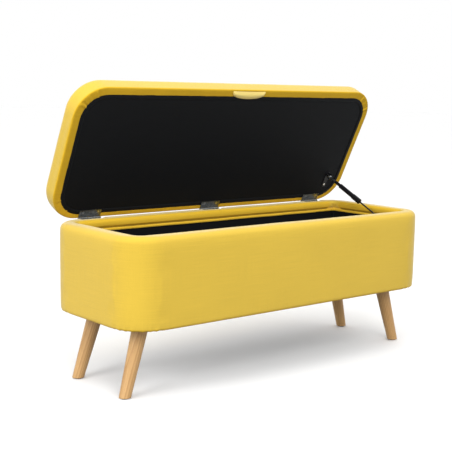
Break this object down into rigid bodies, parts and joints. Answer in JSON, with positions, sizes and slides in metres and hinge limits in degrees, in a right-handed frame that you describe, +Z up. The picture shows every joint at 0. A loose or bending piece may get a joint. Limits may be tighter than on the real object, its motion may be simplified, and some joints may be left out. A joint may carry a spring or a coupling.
{
  "type": "storage bench",
  "caption": "Upholstered storage bench on splayed legs, with a padded lid that swings up on butt hinges over a lined compartment and is held open by a telescopic stay.",
  "frame": {"origin": "on the floor, under the centre of the whole bench as it stands with its lid open", "axes": "+X along the bench to the end that has the lid stay, +Y to the hinge side, +Z up"},
  "size_m": [1.1, 0.4582, 0.8027],
  "materials": {
    "cover_fabric": "matte",
    "lining_cloth": "matte",
    "dust_cloth": "matte",
    "foam": "matte",
    "plywood": "matte",
    "fibreboard": "matte",
    "oak": "satin",
    "zinc_steel": "satin",
    "screw_steel": "satin",
    "black_paint": "satin",
    "dark_steel": "satin",
    "seal_plastic": "matte",
    "glide_plastic": "matte"
  },
  "bodies": {
    "box": {"bottom_board": "plywood", "front_wall": "plywood", "back_wall": "plywood", "left_wall": "plywood", "right_wall": "plywood", "wall_battens": "plywood", "rim_frame": "plywood", "rim_frame_screws": "screw_steel", "fibreboard_skin": "fibreboard", "side_foam": "foam", "rim_foam": "foam", "body_cover": "cover_fabric", "rim_welt": "cover_fabric", "wall_lining": "lining_cloth", "floor_lining": "lining_cloth", "dust_cover": "dust_cloth", "leg_front_left": "oak", "leg_front_right": "oak", "leg_rear_left": "oak", "leg_rear_right": "oak", "leg_plate_front_left": "zinc_steel", "leg_plate_front_right": "zinc_steel", "leg_plate_rear_left": "zinc_steel", "leg_plate_rear_right": "zinc_steel", "leg_plate_screws": "screw_steel", "hanger_bolts": "screw_steel", "leg_glides": "glide_plastic", "hinge_left_body_leaf": "zinc_steel", "hinge_middle_body_leaf": "zinc_steel", "hinge_right_body_leaf": "zinc_steel", "hinge_left_pin": "zinc_steel", "hinge_middle_pin": "zinc_steel", "hinge_right_pin": "zinc_steel", "hinge_body_screws": "screw_steel", "stay_wall_plate": "zinc_steel", "stay_wall_screws": "screw_steel"},
    "lid": {"lid_panel": "plywood", "lid_foam": "foam", "lid_cover": "cover_fabric", "lid_lining": "lining_cloth", "pull_tab": "cover_fabric", "hinge_left_lid_leaf": "zinc_steel", "hinge_middle_lid_leaf": "zinc_steel", "hinge_right_lid_leaf": "zinc_steel", "hinge_lid_screws": "screw_steel", "stay_lid_bracket": "zinc_steel", "stay_lid_pivot": "zinc_steel", "stay_lid_screws": "screw_steel"},
    "stay_tube": {"stay_tube_eye": "zinc_steel", "stay_tube": "black_paint", "stay_collar": "black_paint", "stay_seal": "seal_plastic"},
    "stay_rod": {"stay_rod": "dark_steel", "stay_piston": "seal_plastic", "stay_rod_stud": "dark_steel"}
  },
  "joints": [
    {"name": "lid_hinge", "type": "hinge", "parent": "box", "child": "lid", "pos_m": [0, 0.17773, 0.4235], "axis": [1, 0, 0], "range_deg": [0, 64], "stiffness_Nm_per_rad": 3.5, "springref_deg": -97.4},
    {"name": "stay_swing", "type": "hinge", "parent": "lid", "child": "stay_tube", "pos_m": [0.475, 0.12979, 0.5047], "axis": [1, 0, 0], "range_deg": [-79.53, 0]},
    {"name": "stay_slide", "type": "slide", "parent": "stay_tube", "child": "stay_rod", "axis": [0, -0.8962, -0.4436], "range_m": [-0.07272, 0]}
  ],
  "couplings": [
    {"joint": "stay_swing", "follows": "lid_hinge", "ratio": -1.2411},
    {"joint": "stay_slide", "follows": "lid_hinge", "m_per_rad": -0.065012}
  ]
}
